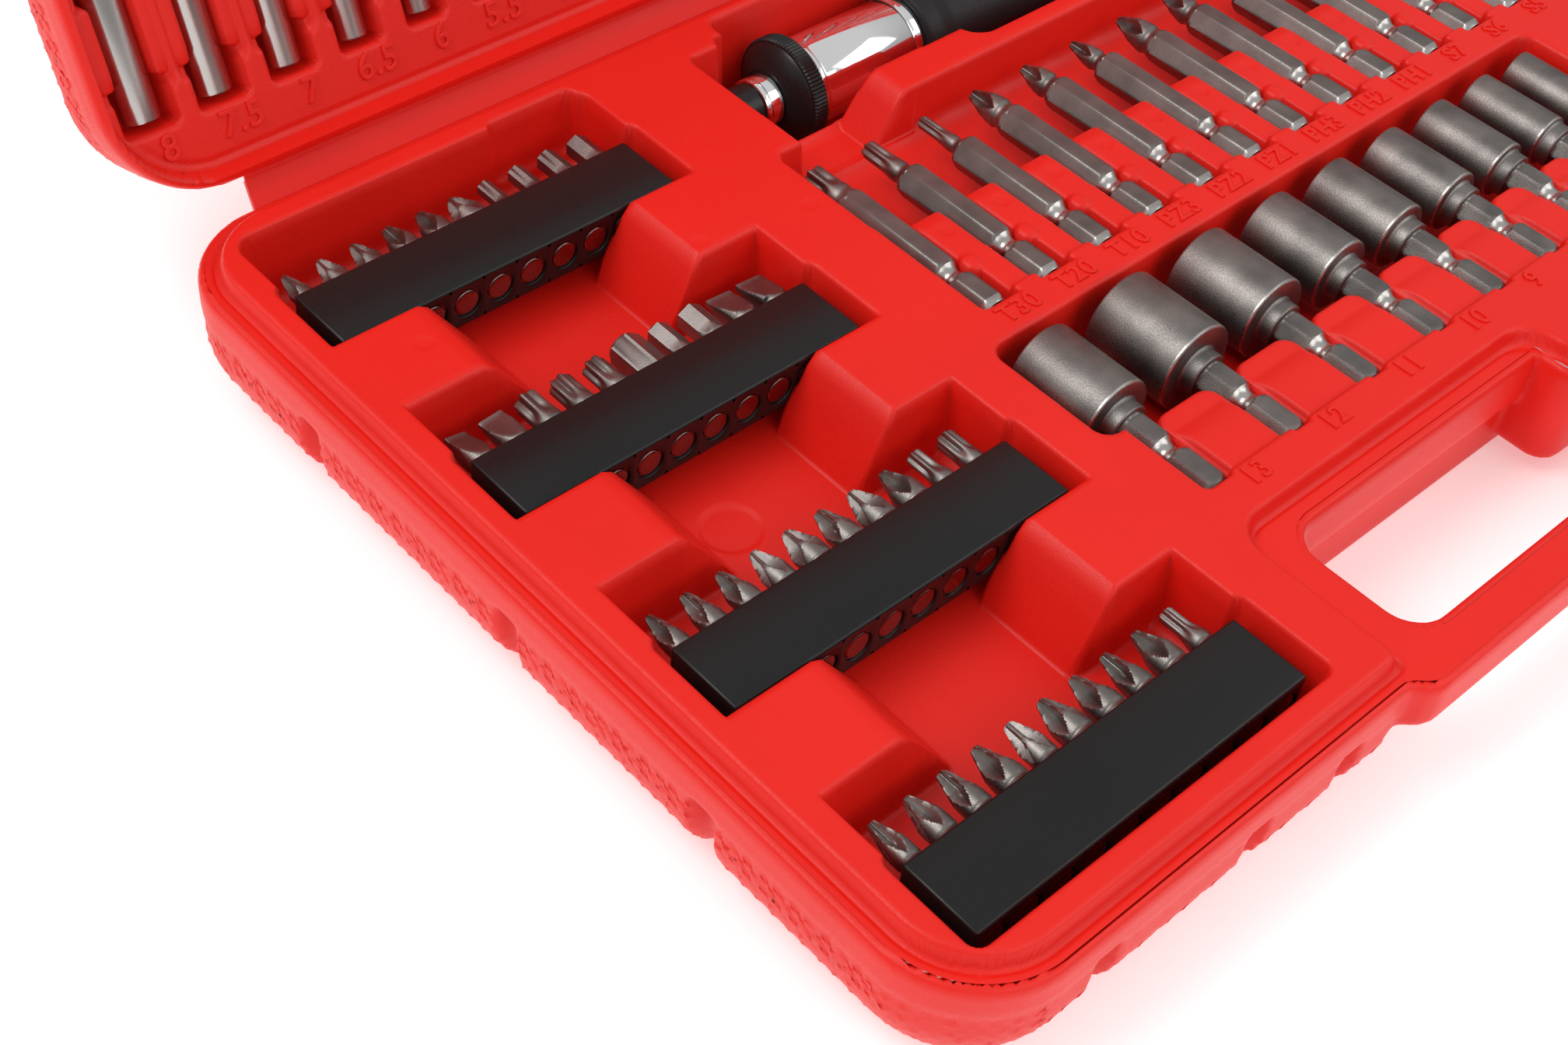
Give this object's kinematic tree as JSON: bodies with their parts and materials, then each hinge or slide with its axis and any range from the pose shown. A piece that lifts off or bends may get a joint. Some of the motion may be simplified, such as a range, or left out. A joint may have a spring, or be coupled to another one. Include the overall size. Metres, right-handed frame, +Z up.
{
  "type": "drill, bit and socket wrench set in case",
  "caption": "Open blow-moulded carrying case with screwdriver bit bars, power bits, nut drivers, a ratchet screwdriver, sockets and drills in fitted pockets.",
  "frame": {"origin": "on the table, under the middle of the base half's flat underside", "axes": "+X along the case, +Y from the handle to the hinge, +Z up"},
  "size_m": [0.412, 0.317, 0.2224],
  "materials": {
    "red_case": "fine-grained blow-moulded plastic",
    "red_lid": "fine-grained blow-moulded plastic",
    "red_hinge": "smooth living hinge",
    "red_latch": "satin injection-moulded plastic",
    "latch_steel": "plain pin",
    "black_bar": "satin black plastic",
    "bit_steel": "sand-blasted tool steel",
    "nut_steel": "sand-blasted tool steel",
    "drill_steel": "ground bright steel",
    "masonry_steel": "satin steel with brazed tips",
    "spade_steel": "satin steel",
    "socket_chrome": "satin chrome",
    "driver_chrome": "polished chrome",
    "driver_black": "black plastic, knurled rim",
    "driver_holder_steel": "black oxide steel",
    "driver_inner_steel": "hardened steel",
    "driver_rubber": "soft matte rubber"
  },
  "bodies": {
    "case_base": {"case_base": "red_case", "latch_pin": "latch_steel"},
    "hinge_strip": {"hinge_strip": "red_hinge"},
    "lid": {"case_lid": "red_lid"},
    "latch": {"latch": "red_latch"},
    "driver": {"driver_ratchet_body": "driver_chrome", "driver_ratchet_pawls": "driver_inner_steel", "driver_grip": "driver_rubber", "driver_end_cap": "driver_black"},
    "driver_ring": {"driver_selector_ring": "driver_black"},
    "driver_spindle": {"driver_bit_holder": "driver_holder_steel", "driver_collar": "driver_chrome", "driver_ratchet_gear": "driver_inner_steel"},
    "bit_bar_1": {"bit_bar_1": "black_bar", "insert_bits_1": "bit_steel"},
    "bit_bar_2": {"bit_bar_2": "black_bar", "insert_bits_2": "bit_steel"},
    "bit_bar_3": {"bit_bar_3": "black_bar", "insert_bits_3": "bit_steel"},
    "bit_bar_4": {"bit_bar_4": "black_bar", "insert_bits_4": "bit_steel"},
    "power_bit_star_30": {"power_bit_star_30": "bit_steel"},
    "power_bit_star_20": {"power_bit_star_20": "bit_steel"},
    "power_bit_star_10": {"power_bit_star_10": "bit_steel"},
    "power_bit_pozi_3": {"power_bit_pozi_3": "bit_steel"},
    "power_bit_pozi_2": {"power_bit_pozi_2": "bit_steel"},
    "power_bit_pozi_1": {"power_bit_pozi_1": "bit_steel"},
    "power_bit_cross_3": {"power_bit_cross_3": "bit_steel"},
    "power_bit_cross_2": {"power_bit_cross_2": "bit_steel"},
    "power_bit_cross_1": {"power_bit_cross_1": "bit_steel"},
    "power_bit_slot_7": {"power_bit_slot_7": "bit_steel"},
    "power_bit_slot_6": {"power_bit_slot_6": "bit_steel"},
    "power_bit_slot_5": {"power_bit_slot_5": "bit_steel"},
    "power_bit_slot_4": {"power_bit_slot_4": "bit_steel"},
    "nut_driver_13": {"nut_driver_13": "nut_steel"},
    "nut_driver_12": {"nut_driver_12": "nut_steel"},
    "nut_driver_11": {"nut_driver_11": "nut_steel"},
    "nut_driver_10": {"nut_driver_10": "nut_steel"},
    "nut_driver_9": {"nut_driver_9": "nut_steel"},
    "nut_driver_8": {"nut_driver_8": "nut_steel"},
    "nut_driver_7": {"nut_driver_7": "nut_steel"},
    "nut_driver_6": {"nut_driver_6": "nut_steel"},
    "nut_driver_5": {"nut_driver_5": "nut_steel"},
    "socket_row_1": {"socket_row_1": "socket_chrome"},
    "socket_row_2": {"socket_row_2": "socket_chrome"},
    "socket_row_3": {"socket_row_3": "socket_chrome"},
    "extension_bar": {"extension_bar": "socket_chrome"},
    "twist_drills_large": {"twist_drills_large": "drill_steel"},
    "twist_drills_medium": {"twist_drills_medium": "drill_steel"},
    "twist_drills_small": {"twist_drills_small": "drill_steel"},
    "masonry_drills": {"masonry_drills": "masonry_steel"},
    "spade_bits": {"spade_bits": "spade_steel"}
  },
  "joints": [
    {"name": "strip_fold", "type": "hinge", "parent": "case_base", "child": "hinge_strip", "pos_m": [0, 0.1046, 0.023], "axis": [-1, 0, 0], "range_deg": [-56.75, 33.25]},
    {"name": "lid_fold", "type": "hinge", "parent": "hinge_strip", "child": "lid", "pos_m": [0, 0.1107, 0.027], "axis": [-1, 0, 0], "range_deg": [-56.75, 33.25]},
    {"name": "latch_swing", "type": "hinge", "parent": "case_base", "child": "latch", "pos_m": [0, -0.0838, 0.012], "axis": [1, 0, 0], "range_deg": [-15, 2]},
    {"name": "driver_lift", "type": "slide", "parent": "case_base", "child": "driver", "axis": [0, 0, 1], "range_m": [0, 0.04]},
    {"name": "selector_turn", "type": "hinge", "parent": "driver", "child": "driver_ring", "pos_m": [-0.075, 0.0825, 0.016], "axis": [1, 0, 0], "range_deg": [-25, 25]},
    {"name": "spindle_turn", "type": "hinge", "parent": "driver", "child": "driver_spindle", "pos_m": [-0.09, 0.0825, 0.016], "axis": [1, 0, 0], "continuous": true},
    {"name": "bit_bar_1_lift", "type": "slide", "parent": "case_base", "child": "bit_bar_1", "axis": [0, 0, 1], "range_m": [0, 0.03]},
    {"name": "bit_bar_2_lift", "type": "slide", "parent": "case_base", "child": "bit_bar_2", "axis": [0, 0, 1], "range_m": [0, 0.03]},
    {"name": "bit_bar_3_lift", "type": "slide", "parent": "case_base", "child": "bit_bar_3", "axis": [0, 0, 1], "range_m": [0, 0.03]},
    {"name": "bit_bar_4_lift", "type": "slide", "parent": "case_base", "child": "bit_bar_4", "axis": [0, 0, 1], "range_m": [0, 0.03]},
    {"name": "power_bit_star_30_lift", "type": "slide", "parent": "case_base", "child": "power_bit_star_30", "axis": [0, 0, 1], "range_m": [0, 0.02]},
    {"name": "power_bit_star_20_lift", "type": "slide", "parent": "case_base", "child": "power_bit_star_20", "axis": [0, 0, 1], "range_m": [0, 0.02]},
    {"name": "power_bit_star_10_lift", "type": "slide", "parent": "case_base", "child": "power_bit_star_10", "axis": [0, 0, 1], "range_m": [0, 0.02]},
    {"name": "power_bit_pozi_3_lift", "type": "slide", "parent": "case_base", "child": "power_bit_pozi_3", "axis": [0, 0, 1], "range_m": [0, 0.02]},
    {"name": "power_bit_pozi_2_lift", "type": "slide", "parent": "case_base", "child": "power_bit_pozi_2", "axis": [0, 0, 1], "range_m": [0, 0.02]},
    {"name": "power_bit_pozi_1_lift", "type": "slide", "parent": "case_base", "child": "power_bit_pozi_1", "axis": [0, 0, 1], "range_m": [0, 0.02]},
    {"name": "power_bit_cross_3_lift", "type": "slide", "parent": "case_base", "child": "power_bit_cross_3", "axis": [0, 0, 1], "range_m": [0, 0.02]},
    {"name": "power_bit_cross_2_lift", "type": "slide", "parent": "case_base", "child": "power_bit_cross_2", "axis": [0, 0, 1], "range_m": [0, 0.02]},
    {"name": "power_bit_cross_1_lift", "type": "slide", "parent": "case_base", "child": "power_bit_cross_1", "axis": [0, 0, 1], "range_m": [0, 0.02]},
    {"name": "power_bit_slot_7_lift", "type": "slide", "parent": "case_base", "child": "power_bit_slot_7", "axis": [0, 0, 1], "range_m": [0, 0.02]},
    {"name": "power_bit_slot_6_lift", "type": "slide", "parent": "case_base", "child": "power_bit_slot_6", "axis": [0, 0, 1], "range_m": [0, 0.02]},
    {"name": "power_bit_slot_5_lift", "type": "slide", "parent": "case_base", "child": "power_bit_slot_5", "axis": [0, 0, 1], "range_m": [0, 0.02]},
    {"name": "power_bit_slot_4_lift", "type": "slide", "parent": "case_base", "child": "power_bit_slot_4", "axis": [0, 0, 1], "range_m": [0, 0.02]},
    {"name": "nut_driver_13_lift", "type": "slide", "parent": "case_base", "child": "nut_driver_13", "axis": [0, 0, 1], "range_m": [0, 0.03]},
    {"name": "nut_driver_12_lift", "type": "slide", "parent": "case_base", "child": "nut_driver_12", "axis": [0, 0, 1], "range_m": [0, 0.03]},
    {"name": "nut_driver_11_lift", "type": "slide", "parent": "case_base", "child": "nut_driver_11", "axis": [0, 0, 1], "range_m": [0, 0.03]},
    {"name": "nut_driver_10_lift", "type": "slide", "parent": "case_base", "child": "nut_driver_10", "axis": [0, 0, 1], "range_m": [0, 0.03]},
    {"name": "nut_driver_9_lift", "type": "slide", "parent": "case_base", "child": "nut_driver_9", "axis": [0, 0, 1], "range_m": [0, 0.03]},
    {"name": "nut_driver_8_lift", "type": "slide", "parent": "case_base", "child": "nut_driver_8", "axis": [0, 0, 1], "range_m": [0, 0.03]},
    {"name": "nut_driver_7_lift", "type": "slide", "parent": "case_base", "child": "nut_driver_7", "axis": [0, 0, 1], "range_m": [0, 0.03]},
    {"name": "nut_driver_6_lift", "type": "slide", "parent": "case_base", "child": "nut_driver_6", "axis": [0, 0, 1], "range_m": [0, 0.03]},
    {"name": "nut_driver_5_lift", "type": "slide", "parent": "case_base", "child": "nut_driver_5", "axis": [0, 0, 1], "range_m": [0, 0.03]},
    {"name": "socket_row_1_lift", "type": "slide", "parent": "case_base", "child": "socket_row_1", "axis": [0, 0, 1], "range_m": [0, 0.03]},
    {"name": "socket_row_2_lift", "type": "slide", "parent": "case_base", "child": "socket_row_2", "axis": [0, 0, 1], "range_m": [0, 0.03]},
    {"name": "socket_row_3_lift", "type": "slide", "parent": "case_base", "child": "socket_row_3", "axis": [0, 0, 1], "range_m": [0, 0.03]},
    {"name": "extension_bar_lift", "type": "slide", "parent": "case_base", "child": "extension_bar", "axis": [0, 0, 1], "range_m": [0, 0.03]},
    {"name": "twist_drills_large_lift", "type": "slide", "parent": "lid", "child": "twist_drills_large", "axis": [0, -0.9171, 0.3987], "range_m": [0, 0.025]},
    {"name": "twist_drills_medium_lift", "type": "slide", "parent": "lid", "child": "twist_drills_medium", "axis": [0, -0.9171, 0.3987], "range_m": [0, 0.025]},
    {"name": "twist_drills_small_lift", "type": "slide", "parent": "lid", "child": "twist_drills_small", "axis": [0, -0.9171, 0.3987], "range_m": [0, 0.025]},
    {"name": "masonry_drills_lift", "type": "slide", "parent": "lid", "child": "masonry_drills", "axis": [0, -0.9171, 0.3987], "range_m": [0, 0.025]},
    {"name": "spade_bits_lift", "type": "slide", "parent": "lid", "child": "spade_bits", "axis": [0, -0.9171, 0.3987], "range_m": [0, 0.025]}
  ],
  "couplings": [
    {"joint": "lid_fold", "follows": "strip_fold", "ratio": 1}
  ]
}
